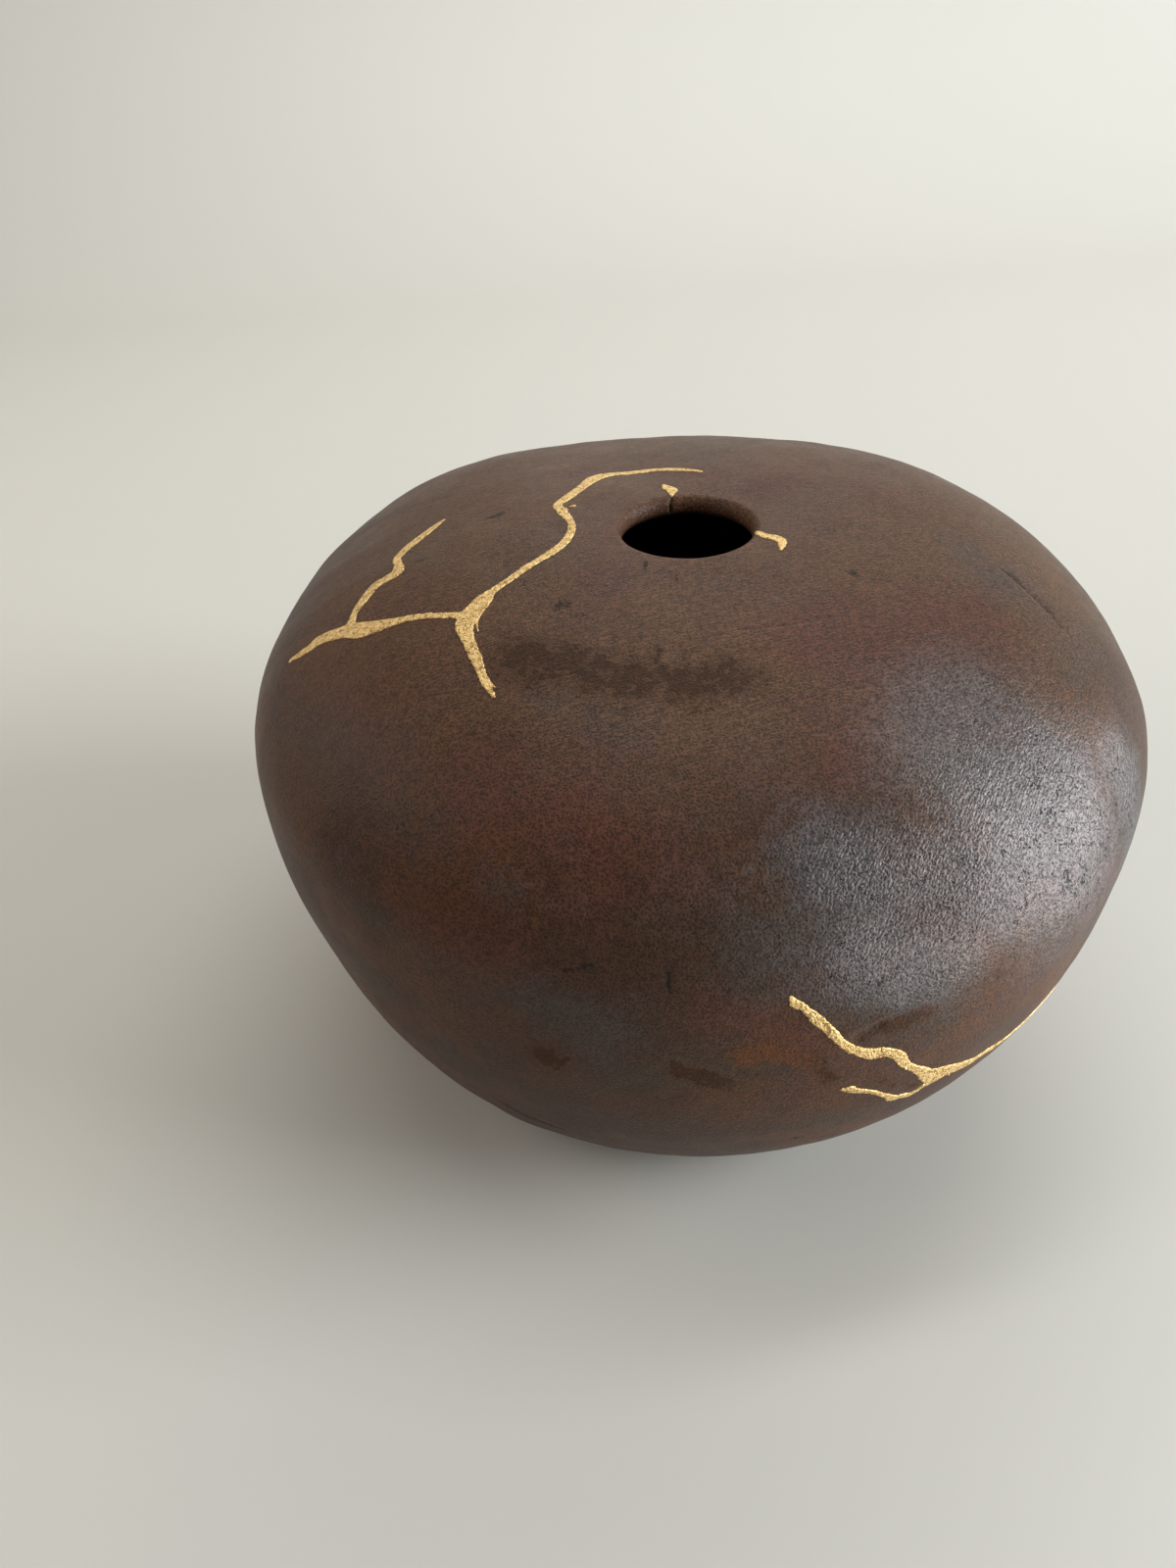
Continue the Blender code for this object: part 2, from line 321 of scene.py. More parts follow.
# Gold lines. A station is a pixel of the photograph with the line's width there in pixels. On the hidden side
# it is a bearing, a climb and a width in millimetres.
goldLines = {
    "gold_seam_shoulder": {
        "seen": {
            "leftArm": ((297, 674, 3), (314, 662, 6), (324, 654, 8), (338, 648, 10), (357, 643, 14),
                        (368, 643, 16), (386, 639, 12), (405, 634, 7), (430, 629, 6), (449, 628, 6),
                        (464, 628, 7), (479, 628, 12)),
            "upperArm": ((479, 628, 18), (494, 611, 14), (502, 603, 7), (518, 592, 6), (536, 579, 6),
                         (555, 568, 6), (569, 559, 7), (578, 551, 8), (583, 542, 9), (583, 534, 8),
                         (577, 526, 9), (572, 520, 10), (569, 515, 8), (580, 507, 7), (594, 497, 7),
                         (605, 489, 8), (621, 484, 7), (639, 482.5, 6), (668, 480, 4.5), (693, 480, 4),
                         (715, 482, 2)),
            "barb": ((574, 522, 5), (585, 516, 3)),
            "lowerArm": ((479, 628, 18), (474, 639, 20), (477, 651, 15), (482, 664, 13), (486, 673, 13),
                         (492, 689, 10), (497, 699, 10), (504, 711, 4)),
            "forkTip": ((498, 697, 6), (506, 702, 2)),
            "sideSliver": ((486, 632, 5), (488, 645, 2)),
            "farBranch": ((357, 641, 9), (361, 626, 6), (371, 612, 7), (383, 598, 7), (396, 590, 7),
                          (405, 584, 9), (407, 576, 9), (405, 571, 7), (414, 561, 6), (430, 548, 6),
                          (442, 539, 5), (453, 531, 2)),
        },
        "hidden": {},
        "beads": (),
    },
    "gold_seam_lower": {
        "seen": {
            "mainArm": ((807, 1018, 5), (812, 1026, 12), (818, 1027, 9), (826, 1034, 10), (834, 1041, 13),
                        (843, 1049, 12), (850, 1055, 12), (858, 1063, 10), (866, 1069, 10), (877, 1073, 10),
                        (888, 1075, 11), (898, 1074, 10), (909, 1074, 10), (918, 1078, 14), (923, 1085, 12),
                        (930, 1089, 9), (940, 1093, 12), (946, 1096, 15), (955, 1096, 13), (969, 1091, 9),
                        (980, 1088, 7), (992, 1083, 6), (1003, 1076, 5)),
            "lowerBranch": ((859, 1111, 3), (866, 1111, 7), (872, 1112, 6), (883, 1113, 5), (893, 1115, 5),
                            (904, 1118, 6), (910, 1120, 6), (920, 1118, 4), (929, 1116, 4), (940, 1109, 4),
                            (949, 1104, 4), (957, 1099, 6)),
        },
        "hidden": {
            "roundTheSide": ((46, -32, 3.4), (52, -29.5, 3.0), (57, -27.5, 2.8), (63, -20, 2.4),
                             (69, -13, 1.2)),
            "sideFork": ((57, -27.5, 2.4), (55, -36, 2.2), (59, -43, 1.2)),
        },
        "beads": ((923, 1089), (961, 1091), (967, 1095), (912, 1122), (929, 1118)),
    },
    "gold_seam_mouth": {
        "seen": {
            "fromTheMouth": ((772, 543.5, 4), (776, 545.5, 6), (781, 547.5, 5), (790, 549, 6), (797, 553, 10),
                             (797, 561, 5)),
            "spur": ((797, 552, 5), (802, 554, 2)),
            "speck": ((789, 562, 2.5),),
        },
        "hidden": {},
        "beads": (),
    },
    "gold_patch_mouth": {
        "seen": {
            "topEdge": ((677, 495.5, 3), (682, 498.5, 7), (687, 500.5, 6)),
            "middle": ((684, 500, 8), (685.5, 503, 7), (685.5, 505.5, 3)),
        },
        "hidden": {},
        "beads": (),
    },
}

goldForm = {
    "pieces": {"gold_seam_shoulder": "shoulderGold", "gold_seam_lower": "lowerGold",
               "gold_seam_mouth": "mouthGold", "gold_patch_mouth": "mouthPatchGold"},
    "spacing": 0.32 * mm,       # of the leaf's mesh
    "proud": 0.3 * mm,          # of the clay, at the middle of a line
    "sunk": 0.25 * mm,          # the rim ends this far under the clay
    "roundedEdge": 0.45 * mm,
    "leaf": 0.4 * mm,           # its depth as a sheet
    "ragged": ((2.2, 0.22), (0.9, 0.26), (0.5, 0.2)),      # size and depth in millimetres
    "crinkle": 0.07 * mm,
    "swells": (1.5 * mm, 0.6, 21),      # size, share of the crinkle and where the noise is read
    "folds": (0.8 * mm, 0.7, 33),
    "beadRadius": 0.5 * mm,
    "rimWidth": 0.35 * mm,
    "margin": 0.7 * mm,         # of the flat sheet round a line
    "slack": 1.6,               # the sheet allows for this much stretch of the wall
    "closest": 0.04 * mm,       # corners nearer to each other become one
    "melt": 1.1 * mm,           # how far arms run into each other where they meet
    "widestPixel": 0.75 * mm,   # the most that a pixel of a line's width may come to
}


def seenArm(stations):
    # Places and half widths in metres, the width measured on the wall between the line's two edges
    arm = []
    for i, (u, v, width) in enumerate(stations):
        before, after = stations[max(i - 1, 0)], stations[min(i + 1, len(stations) - 1)]
        run = np.array([after[0] - before[0], after[1] - before[1]], float)
        side = np.array([-run[1], run[0]]) / max(np.hypot(*run), 1e-6) * width / 2
        edge = seen(u + side[0], v + side[1]) - seen(u - side[0], v - side[1])
        along = seen(*after[:2]) - seen(*before[:2])
        edge = edge - along * (edge @ along) / max(along @ along, 1e-12)
        arm.append([*seen(u, v), min(np.linalg.norm(edge), width * goldForm["widestPixel"]) / 2])
    return arm


def seamPaths(seam):
    paths = {name: seenArm(stations) for name, stations in seam["seen"].items()}
    for name, stations in seam["hidden"].items():
        paths[name] = [[*hidden(bearing, climb), width * mm / 2] for bearing, climb, width in stations]
    if "roundTheSide" in paths:
        paths["mainArm"] += paths.pop("roundTheSide")
    return {name: smoothPath(stations) for name, stations in paths.items()}


print("gold: lines over the cracks")
goldPaths = {name: seamPaths(seam) for name, seam in goldLines.items()}

# Relief of the clay. A mark is a path over photograph pixels with its width and height in millimetres, where
# a height below zero is pressed in.
clayRelief = {
    "hand": ((34, 0.5), (17, 0.28), (8, 0.12)),          # size and height in millimetres
    "marks": {
        "softDent": (((905, 925),), 26, -1.6),
        "nailDent": (((868, 1064), (884, 1055), (897, 1047), (908, 1040)), 2.0, -0.9),
        "nailRidge": (((886, 1046), (900, 1038), (914, 1031), (926, 1027)), 2.0, 0.6),
        "hipCrease": (((505, 1120), (524, 1132), (545, 1142), (575, 1152)), 1.3, -0.7),
        "lipCrack": (((686, 506), (685, 511), (684, 517), (684, 523)), 0.5, -1.0),
        "shoulderCrease": (((1022, 580), (1045, 600), (1066, 620), (1083, 640)), 1.2, -0.35),
        "hairlineFront": (((575, 991), (590, 988), (605, 984)), 0.7, -0.25),
        "hairlineLow": (((681, 990), (682, 1000), (682, 1012)), 0.7, -0.3),
        "hairlineTop": (((754, 642), (780, 640), (805, 637), (835, 631), (863, 627)), 0.7, -0.2),
    },
    "fadeOverFoot": 7 * mm,
    "longestMark": 40 * mm,     # from a mark's middle to its end, at most
    "endShare": 0.04,           # a mark ends as it is this far along
    "bluntness": 1.8,           # how soon it has its full height
}


def clayMarks():
    found = {}
    for name, (pixels, width, height) in clayRelief["marks"].items():
        stations = np.array([seen(u, v) for u, v in pixels])
        found[name] = (smoothPath(stations), width * mm, height * mm)
    return found


markPaths = clayMarks()


def handRelief(points):
    total = 0
    for i, (size, height) in enumerate(clayRelief["hand"]):
        total = total + drift(points, size * mm, 7.3 * i) * height * mm
    return total * np.clip(points[:, 2] / clayRelief["fadeOverFoot"], 0, 1)


def tapered(share):
    # The full height along the middle of a mark, and less towards its ends
    inner = np.clip(share, clayRelief["endShare"], 1 - clayRelief["endShare"])
    return np.minimum(1, np.sin(math.pi * inner) * clayRelief["bluntness"])


def markRelief(points):
    total = np.zeros(len(points))
    for path, width, height in markPaths.values():
        middle = path[:, :3].mean(0)
        near = np.linalg.norm(points - middle, axis=1) < 4 * width + clayRelief["longestMark"]
        far, share = fromPath(points[near], path)[::2]
        taper = 1 if len(path) == 1 else tapered(share)
        total[near] += height * taper * np.exp(-(far / width) ** 2)
    return total


def clayRise(points):
    return handRelief(points) + markRelief(points)


def goldDistance(points, paths, furthest=60):
    # Signed distance to the edge of a gold line, negative inside, its arms melted together where they meet
    melt = goldForm["melt"] / 4
    total = 0
    for path in paths.values():
        far, width = fromPath(points, path)[:2]
        total = total + np.exp(np.clip((width - far) / melt, -furthest, furthest))
    return -np.log(total) * melt


clayMesh = {
    "goldMargin": 1.5 * mm,     # the mesh is finer this near to a gold line
    "markWidths": 2.5,          # and within this many widths of a mark
    "broadMark": 5 * mm,        # a mark of this width needs no finer mesh
    "longEdge": 1 * mm,         # edges longer than this are cut there
    "cuts": 2,
    "flatFoot": 0.1 * mm,       # points up to this height stay as they are
    "skin": 2 * mm,             # the hand relief ends this deep under the outer face
    "insideShadeFrom": 5 * mm,         # the painted shade inside starts this deep
    "insideShadeOver": 2 * mm,         # and is full this much deeper
}


def refined(mesh, points):
    # Cuts the faces near gold lines and marks finer
    near = np.full(len(points), np.inf)
    for paths in goldPaths.values():
        for path in paths.values():
            far, width = fromPath(points, path[::4])[:2]
            near = np.minimum(near, far - width - clayMesh["goldMargin"])
    for path, width, height in markPaths.values():
        if width < clayMesh["broadMark"]:
            near = np.minimum(near, fromPath(points, path)[0] - clayMesh["markWidths"] * width)
    fine = near < 0
    work = bmesh.new()
    work.from_mesh(mesh)
    work.verts.ensure_lookup_table()
    edges = [edge for edge in work.edges
             if any(fine[end.index] for end in edge.verts) and edge.calc_length() > clayMesh["longEdge"]]
    bmesh.ops.subdivide_edges(work, edges=edges, cuts=clayMesh["cuts"], use_grid_fill=True)
    bmesh.ops.triangulate(work, faces=[f for f in work.faces if len(f.verts) > 4])
    work.to_mesh(mesh)
    work.free()


def makeVase(mesh):
    refined(mesh, plainWall)
    turned = meshPoints(mesh)
    rho, rise = np.hypot(turned[:, 0], turned[:, 1]), turned[:, 2] - form["bellyHeight"]
    outerRho, outerHeight = wallSection(np.arctan2(rise, rho))[:2]
    depth = np.hypot(outerRho, outerHeight - form["bellyHeight"]) - np.hypot(rho, rise)
    outside = np.clip(1 - depth / clayMesh["skin"], 0, 1)
    points = shapedPoints(turned)
    mesh.vertices.foreach_set("co", points.ravel())
    mesh.update()
    normals = meshPoints(mesh, "normal")
    relief = handRelief(points) * outside + markRelief(points)
    relief = relief * (turned[:, 2] > clayMesh["flatFoot"])
    points = points + normals * relief[:, None]
    mesh.vertices.foreach_set("co", points.ravel())
    mesh.name = "vaseClay"
    mesh.shade_smooth()
    mesh.update()
    vase = bpy.data.objects.new("vaseClay", mesh)
    bpy.context.scene.collection.objects.link(vase)
    triangles = sum(len(face.vertices) - 2 for face in mesh.polygons)
    print("  vase:", len(mesh.polygons), "faces,", triangles, "triangles")
    # painted shade: the inside of the vase, deeper than the outer skin, is painted near-black
    within = np.clip((depth - clayMesh["insideShadeFrom"]) / clayMesh["insideShadeOver"], 0, 1)
    return vase, points, within * (turned[:, 2] > form["floor"] / 2)


vase, clayPoints, clayInsideShade = makeVase(vaseMesh)


def sheetFrame(stations):
    # Three axes of the flat sheet that a line is drawn on: its middle direction from inside the vase, east
    # and north
    aims = stations - (0, 0, form["bellyHeight"])
    middle = (aims / np.linalg.norm(aims, axis=1, keepdims=True)).mean(0)
    middle /= np.linalg.norm(middle)
    east = np.cross([0, 0, 1], middle)
    east /= np.linalg.norm(east)
    return middle, east, np.cross(middle, east)


def toSheet(axes, bearing, latitude):
    middle, east, north = axes
    across = np.cos(latitude)
    aims = np.stack([across * np.sin(bearing), -across * np.cos(bearing), np.sin(latitude)], -1)
    return 2 * np.stack([aims @ east, aims @ north], -1) / (1 + aims @ middle)[:, None]


def fromSheet(axes, flat):
    middle, east, north = axes
    a, b = flat[:, :1], flat[:, 1:2]
    square = (a * a + b * b) / 4
    aims = ((1 - square) * middle + a * east + b * north) / (1 + square)
    return np.arctan2(aims[:, 0], -aims[:, 1]), np.arcsin(np.clip(aims[:, 2], -1, 1))


def sheetCells(axes, paths, step):
    # Grid places of the sheet that lie near the line
    found = set()
    for path in paths.values():
        flat = toSheet(axes, *wallBearings(path[:, :3])) / step
        for (a, b), halfWidth in zip(flat.tolist(), path[:, 3]):
            reach = (halfWidth + goldForm["margin"]) / form["bellyRadius"] / step * goldForm["slack"]
            for i in range(math.floor(a - reach), math.ceil(a + reach)):
                span = math.sqrt(max(0, reach ** 2 - (i - a) ** 2))
                found.update((i, j) for j in range(math.floor(b - span), math.ceil(b + span)))
    return sorted(found)


def goldSheet(name, axes, paths):
    # The line on the flat sheet, with its signed distance as height, cut level at its outline
    reach = form["bellyRadius"]
    step = goldForm["spacing"] / reach
    cells = sheetCells(axes, paths, step)
    flat = np.array(cells) * step
    places = onWall(*fromSheet(axes, flat))
    ragged = sum(drift(places, size * mm, 5 * size) * height * mm for size, height in goldForm["ragged"])
    heights = (goldDistance(places, paths) + ragged) / reach
    corners = {cell: (*spot, height) for cell, spot, height in zip(cells, flat.tolist(), heights.tolist())}
    work = bmesh.new()
    made = {}

    def corner(cell):
        if cell not in made:
            made[cell] = work.verts.new(corners[cell])
        return made[cell]

    for i, j in cells:
        around = ((i, j), (i + 1, j), (i + 1, j + 1), (i, j + 1))
        if all(cell in corners for cell in around) and any(corners[cell][2] < 0 for cell in around):
            work.faces.new([corner(cell) for cell in around])
    whole = work.verts[:] + work.edges[:] + work.faces[:]
    bmesh.ops.bisect_plane(work, geom=whole, dist=1e-7, plane_co=(0, 0, 0), plane_no=(0, 0, 1),
                           clear_outer=True)
    bmesh.ops.remove_doubles(work, verts=work.verts, dist=goldForm["closest"] / reach)
    mesh = bpy.data.meshes.new(name)
    work.to_mesh(mesh)
    work.free()
    return mesh


def leafRise(walls, within, beads):
    # How far the leaf's face stands proud of the clay, by its distance from the line's edge
    rounding = 1 - (1 - np.clip(within / goldForm["roundedEdge"], 0, 1)) ** 2
    swells, folds = [drift(walls, size, shift) * share
                     for size, share, shift in (goldForm["swells"], goldForm["folds"])]
    proud = (goldForm["sunk"] + goldForm["proud"]) * rounding - goldForm["sunk"]
    proud = proud + (swells - np.abs(folds)) * goldForm["crinkle"] * rounding
    for u, v in beads:
        far = np.linalg.norm(walls - seen(u, v), axis=1) / goldForm["beadRadius"]
        proud = proud + goldForm["beadRadius"] * np.sqrt(np.clip(1 - far ** 2, 0, 1))
    return proud


def makeGold(name, beads, paths):
    # The flat line laid on the wall
    axes = sheetFrame(np.vstack([path[:, :3] for path in paths.values()]))
    mesh = goldSheet(name, axes, paths)
    flat = meshPoints(mesh)
    bearing, latitude = fromSheet(axes, flat)
    within = np.maximum(0, -flat[:, 2] * form["bellyRadius"])
    walls = onWall(bearing, latitude)
    rise = clayRise(walls) + leafRise(walls, within, beads)
    points = walls + wallNormals(bearing, latitude) * rise[:, None]
    mesh.vertices.foreach_set("co", points.ravel())
    # the rim marks where the dark edge, partly painted edge shade, is laid
    rim = mesh.attributes.new("rim", "FLOAT", "POINT")
    rim.data.foreach_set("value", np.clip(1 - within / goldForm["rimWidth"], 0, 1).astype(np.float32))
    mesh.shade_smooth()
    piece = bpy.data.objects.new(goldForm["pieces"][name], mesh)
    bpy.context.scene.collection.objects.link(piece)
    solid = piece.modifiers.new("leafDepth", "SOLIDIFY")
    solid.thickness = goldForm["leaf"]
    solid.offset = -1
    print("  ", name, len(mesh.polygons), "faces")
    return piece


goldPieces = {name: makeGold(name, seam["beads"], goldPaths[name]) for name, seam in goldLines.items()}


class Wire:
    # A node's output that takes part in plain arithmetic
    def __init__(self, finish, socket):
        self.finish = finish
        self.socket = socket

    def maths(self, operation, first, second):
        return self.finish.node("Math", {"operation": operation}, {0: first, 1: second})

    def __add__(self, other):
        return self.maths("ADD", self, other)

    def __sub__(self, other):
        return self.maths("SUBTRACT", self, other)

    def __rsub__(self, other):
        return self.maths("SUBTRACT", other, self)

    def __mul__(self, other):
        return self.maths("MULTIPLY", self, other)

    __radd__ = __add__
    __rmul__ = __mul__


class Finish:
    # A material whose nodes are added one call at a time
    def __init__(self, name):
        self.material = bpy.data.materials.new(name)
        self.material.use_nodes = True
        self.tree = self.material.node_tree
        self.shader = self.tree.nodes["Principled BSDF"]
        self.place = self.node("TexCoord", {}, {}, "Object")

    def feed(self, socket, value):
        if isinstance(value, Wire):
            self.tree.links.new(value.socket, socket)
        else:
            socket.default_value = value

    def node(self, kind, settings, sockets, output=0):
        made = self.tree.nodes.new("ShaderNode" + kind)
        for name, value in settings.items():
            setattr(made, name, value)
        for key, value in sockets.items():
            self.feed(made.inputs[key], value)
        return Wire(self, made.outputs[output])

    def painted(self, name):
        return self.node("Attribute", {"attribute_name": name}, {}, "Fac")

    def cloud(self, size, detail, rough, place=None):
        # Noise from 0 to 1 with features of this size
        sockets = {"Vector": place or self.place, "Scale": 1 / size, "Detail": detail, "Roughness": rough}
        return self.node("TexNoise", {}, sockets)

    def cells(self, size):
        return self.node("TexVoronoi", {}, {"Vector": self.place, "Scale": 1 / size}, "Distance")

    def stretched(self, scale, turn):
        return self.node("Mapping", {}, {"Vector": self.place, "Rotation": turn, "Scale": scale})

    def rubbed(self, along, length):
        # Places drawn together along one direction, so that what is read there comes out that much longer
        way = Vector(along).normalized()
        travelled = self.node("VectorMath", {"operation": "DOT_PRODUCT"}, {0: self.place, 1: way}, "Value")
        back = travelled * (1 - 1 / length)
        pulled = self.node("VectorMath", {"operation": "SCALE"}, {0: way, "Scale": back})
        return self.node("VectorMath", {"operation": "SUBTRACT"}, {0: self.place, 1: pulled})

    def between(self, value, low, high):
        return self.node("MapRange", {"interpolation_type": "SMOOTHSTEP"}, {0: value, 1: low, 2: high})

    def blend(self, factor, under, over):
        return self.node("Mix", {"data_type": "RGBA"}, {0: factor, 6: under, 7: over}, 2)

    def bump(self, height, strength, distance):
        return self.node("Bump", {}, {"Height": height, "Strength": strength, "Distance": distance})

    def give(self, **inputs):
        for name, value in inputs.items():
            self.feed(self.shader.inputs[name.replace("_", " ")], value)


# Tone fields painted over the clay. A patch is a path over photograph pixels with its width in millimetres
# and its strength.
clayTones = {
    # partly painted highlight: these patches follow the highlight on the right flank, turning the clay's
    # colour towards a pale grey sheen there, besides making it shine like metal
    "polishAndPaintedHighlight": (
        (((1000, 760), (1055, 815), (1090, 870)), 34, 1.2),
        (((1140, 775), (1155, 855)), 16, 0.9),
        (((960, 980), (900, 975)), 22, 1.0),
        (((850, 885), (815, 880)), 16, 0.6),
        (((870, 890), (950, 895), (1030, 900)), 22, 1.0),
    ),
    "rust": (
        (((530, 672), (580, 680), (640, 690), (700, 697), (750, 690)), 11, 1.0),
        (((640, 660), (700, 675)), 10, 0.5),
        (((558, 1078), (565, 1084)), 6.5, 1.35),
        (((562, 1075), (572, 1090)), 4, 0.9),
        (((690, 1091), (710, 1098), (740, 1106)), 4.5, 1.4),
        (((748, 1090), (762, 1096), (790, 1101)), 1.2, 0.8),
        (((835, 1085), (845, 1100)), 4, 0.8),
        (((905, 1050), (945, 1036)), 3.5, 1.1),
        (((930, 1108), (890, 1100)), 4, 0.6),
        (((1010, 640), (1040, 700)), 14, 0.35),
    ),
    "orange": (
        (((758, 1078), (790, 1075), (822, 1082)), 4.5, 1.1),
        (((775, 1085), (760, 1088)), 2.5, 0.7),
        (((835, 1085), (842, 1096)), 3, 0.7),
    ),
    "red": (
        (((830, 640), (900, 650), (990, 640)), 20, 1.0),
        (((870, 690), (960, 720)), 14, 0.7),
        (((640, 520), (600, 600)), 14, 0.5),
        (((420, 620), (380, 700)), 16, 0.5),
        (((720, 1030), (790, 1050), (860, 1080)), 12, 0.6),
        (((500, 810), (560, 830), (600, 860)), 26, 0.65),
        (((860, 760), (900, 740)), 18, 0.6),
        (((1130, 890), (1110, 930)), 8, 0.7),
        (((430, 940), (500, 960)), 16, 0.5),
        (((600, 480), (760, 490), (900, 500)), 16, 0.5),
    ),
    "grey": (
        # partly painted reflection: this grey patch on the right flank stands for a dim bluish reflection,
        # over the clay's own grey tone
        (((860, 880), (820, 900)), 16, 0.5),
        (((780, 960), (760, 1000)), 14, 0.8),
        (((700, 600), (640, 590)), 16, 0.35),
        (((560, 1040), (620, 1050)), 16, 0.7),
        (((600, 560), (560, 570)), 12, 0.3),
        (((560, 720), (640, 740)), 14, 0.5),
        (((980, 560), (1050, 620)), 14, 0.6),
        (((560, 900), (520, 900)), 16, 0.5),
    ),
    "sootAndShade": (
        (((659, 574), (658, 581)), 1.0, 0.9),
        (((684, 583),), 1.2, 0.7),
        (((690, 588), (691, 594)), 0.9, 0.7),
        (((568, 619), (578, 616)), 2.6, 0.7),
        (((708, 847),), 0.9, 1.0),
        (((575, 991), (605, 984)), 0.8, 0.8),
        (((682, 990), (682, 1012)), 0.8, 0.8),
        (((524, 1132), (575, 1152)), 0.9, 0.8),
        (((1022, 580), (1045, 600), (1066, 620), (1083, 640)), 0.9, 0.7),
        (((754, 642), (805, 637), (863, 627)), 0.7, 0.6),
        (((686, 506), (684, 514), (684, 523)), 0.5, 1.0),
        # painted shade: a dark stroke along the nail dent
        (((870, 1063), (888, 1054)), 1.2, 0.7),
        (((830, 540), (850, 540)), 1.6, 0.5),
        (((868, 583), (872, 585)), 1.8, 0.8),
        (((500, 528), (512, 524)), 2.0, 0.8),
        (((425, 575), (432, 571)), 2.0, 0.6),
        (((686, 1171),), 1.2, 0.8),
        (((805, 1163), (832, 1157)), 0.8, 0.8),
    ),
}


def paintTones(vase, points, within):
    # within carries the painted shade inside the vase
    fields = {"within": within}
    for name, patches in clayTones.items():
        field = np.zeros(len(points))
        for pixels, width, strength in patches:
            path = smoothPath([seen(u, v) for u, v in pixels])
            far = fromPath(points, path)[0]
            field = np.maximum(field, strength * np.exp(-(far / (width * mm)) ** 2))
        fields[name] = field
    for name, field in fields.items():
        tone = vase.data.attributes.new(name, "FLOAT", "POINT")
        tone.data.foreach_set("value", field.astype(np.float32))


print("tones: painted over the clay")
paintTones(vase, clayPoints, clayInsideShade)

clayLook = {
    "umber": (0.076, 0.035, 0.021, 1),
    "brown": (0.112, 0.046, 0.021, 1),
    "olive": (0.072, 0.045, 0.029, 1),
    "violet": (0.084, 0.048, 0.043, 1),
    "red": (0.128, 0.045, 0.026, 1),
    "top": (0.188, 0.084, 0.037, 1),      # paler clay towards the top, round the mouth
    "stain": (0.090, 0.034, 0.010, 1),
    "flake": (0.056, 0.021, 0.006, 1),
    "orange": (0.150, 0.050, 0.014, 1),
    "grey": (0.086, 0.073, 0.066, 1),
    # painted highlight colour: the pale grey laid where the polish patches are
    "paintedSheen": (0.212, 0.210, 0.215, 1),
    # near-black: real soot in cracks and specks, and also the painted shade inside the vase and in the nail
    # dent
    "sootAndShade": (0.010, 0.008, 0.007, 1),
    # clouds of tone: size in millimetres, detail and roughness
    "clouds": {
        "broad": (60, 2, 0.5),
        "patch": (20, 4, 0.6),
        "fine": (4, 3, 0.6),
        "mottle": (2.4, 4, 0.75),
        "speck": (1.1, 2, 0.6),
    },
    # layers of colour: where the mask starts, where it is full, how strongly it covers, and with which colour
    "layers": {
        "brown": (0.42, 0.58, 1, "brown"),
        "olive": (0.46, 0.6, 0.8, "olive"),
        "violet": (0.48, 0.62, 0.6, "violet"),
        "top": (166 * mm, 188 * mm, 0.5, "top"),      # by height
        "red": (0.05, 0.85, 0.85, "red"),
        "grey": (0.2, 1.1, 0.7, "grey"),
        # the polish layer lays the painted highlight's pale grey over the right flank
        "polishAndPaintedHighlight": (0.1, 1.0, 0.52, "paintedSheen"),
        "orange": (0.3, 0.75, 0.8, "orange"),
        "stain": (0.12, 0.75, 0.7, "stain"),
        "flake": (0.6, 0.72, 0.75, "flake"),
        "sootAndShade": (0.35, 0.7, 0.85, "sootAndShade"),
        "grain": (0.60, 0.38, 0.6, "sootAndShade"),
        "mottle": (0.54, 0.36, 0.28, "sootAndShade"),
        "pits": (0.37, 0.30, 0.85, "sootAndShade"),
        "brush": (0.6, 0.42, 0.35, "sootAndShade"),
        "streak": (0.6, 0.42, 0.16, "sootAndShade"),
    },
    # layers that follow a painted tone: which, how closely, and how far clouds break up its edge
    "painted": {
        "red": ("red", 1, {"patch": 1.1, "fine": 0.6}),
        "grey": ("grey", 1, {"patch": 1.2, "fine": 0.8}),
        "polishAndPaintedHighlight": ("polishAndPaintedHighlight", 1, {"patch": 0.5, "fine": 0.5}),
        "orange": ("orange", 1, {"mottle": 2, "speck": 1.2}),
        "stain": ("rust", 1, {"patch": 1.2, "fine": 1.2}),
        "flake": ("rust", 0.8, {"fine": 1.9, "mottle": 1.7}),
        "sootAndShade": ("sootAndShade", 1, {"speck": 1.2}),
    },
    "tilted": (45 * mm, (1, 1, 2), (1, 2, 3)),      # one more cloud: its size, stretch and turn
    "grainSize": 0.85 * mm,
    "grainHeight": 0.3 * mm,
    "grainCells": 0.45,                   # how much of the grain is cells
    "grainCloud": 0.6,                    # and how much is cloud between them
    "relief": {"grain": 0.7, "pits": 0.7, "flake": 0.25},      # against 1 for the rubs
    "rougher": {"patch": 0.2, "fine": 0.16, "flake": 0.2, "sootAndShade": 0.15},
    "streakSize": 0.6 * mm,
    "streakAlong": (0.5, 0.83, 0.25),     # the way the right flank was rubbed
    "brushAlong": (0.95, 0.29, 0.06),     # and the way the top was
    "streakLength": 5,
    "roughness": 0.44,
    "gloss": 0.16,
    "metal": 0.68,                        # how much the rubbed, carbon-blackened places shine like metal
    "filledPits": 0.055,                  # how much shallower the pits are there
}


